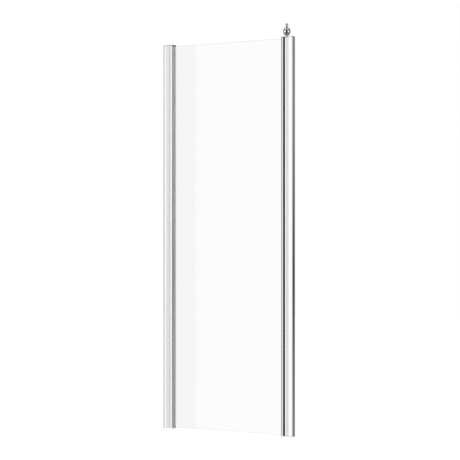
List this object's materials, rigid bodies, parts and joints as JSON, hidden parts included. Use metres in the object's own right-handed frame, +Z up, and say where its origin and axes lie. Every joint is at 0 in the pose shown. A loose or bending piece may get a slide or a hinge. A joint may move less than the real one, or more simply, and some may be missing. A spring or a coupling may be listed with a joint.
{
  "type": "shower side panel",
  "caption": "Fixed glass side panel for a shower enclosure, with a telescopic wall channel on one side and a fluted post with a turned finial on the other.",
  "frame": {"origin": "on the wall plane, at the foot of the wall channel and the middle of the glass's thickness", "axes": "+X along the panel, away from the wall; +Y through the panel, from the room side to the shower side; +Z up"},
  "size_m": [0.8, 0.0417, 2.016],
  "materials": {
    "bright_profile": "extruded aluminium, polished and bright anodised",
    "bright_cap": "moulded ABS, chrome plated",
    "plated_brass": "turned brass, polished and chrome plated",
    "clear_glass": "toughened float glass, clear, with ground arrises",
    "clear_seal": "extruded translucent soft PVC",
    "moulded_block": "moulded pale grey nylon",
    "stainless_screw": "stainless steel, plain"
  },
  "bodies": {
    "wall_side": {"wall_channel": "bright_profile", "wall_channel_cap": "bright_cap"},
    "panel": {"glazing_profile": "bright_profile", "glazing_cap": "bright_cap", "glazing_foot": "moulded_block", "clamp_screws": "stainless_screw", "clamp_washers": "stainless_screw", "clamp_nuts": "stainless_screw", "clamp_covers": "bright_cap", "glass_pane": "clear_glass", "glass_shoe_wall_side": "moulded_block", "glass_shoe_post_side": "moulded_block", "gasket_wall_side_front": "clear_seal", "gasket_wall_side_back": "clear_seal", "gasket_post_side_front": "clear_seal", "gasket_post_side_back": "clear_seal", "glass_packers": "moulded_block", "corner_post": "bright_profile", "post_cap": "bright_cap", "post_foot": "moulded_block", "joining_channel": "bright_profile", "joining_screws": "stainless_screw", "cover_strip": "bright_profile", "joining_cap": "bright_cap", "joining_foot": "moulded_block", "finial_stud": "stainless_screw", "finial_washer": "moulded_block", "finial_nut": "stainless_screw"},
    "finial": {"finial": "plated_brass"}
  },
  "joints": [
    {"name": "width_adjustment", "type": "slide", "parent": "wall_side", "child": "panel", "axis": [1, 0, 0], "range_m": [0, 0.02]},
    {"name": "finial_turn", "type": "hinge", "parent": "panel", "child": "finial", "pos_m": [0.7581, 0, 1.95], "axis": [0, 0, 1], "continuous": true}
  ]
}
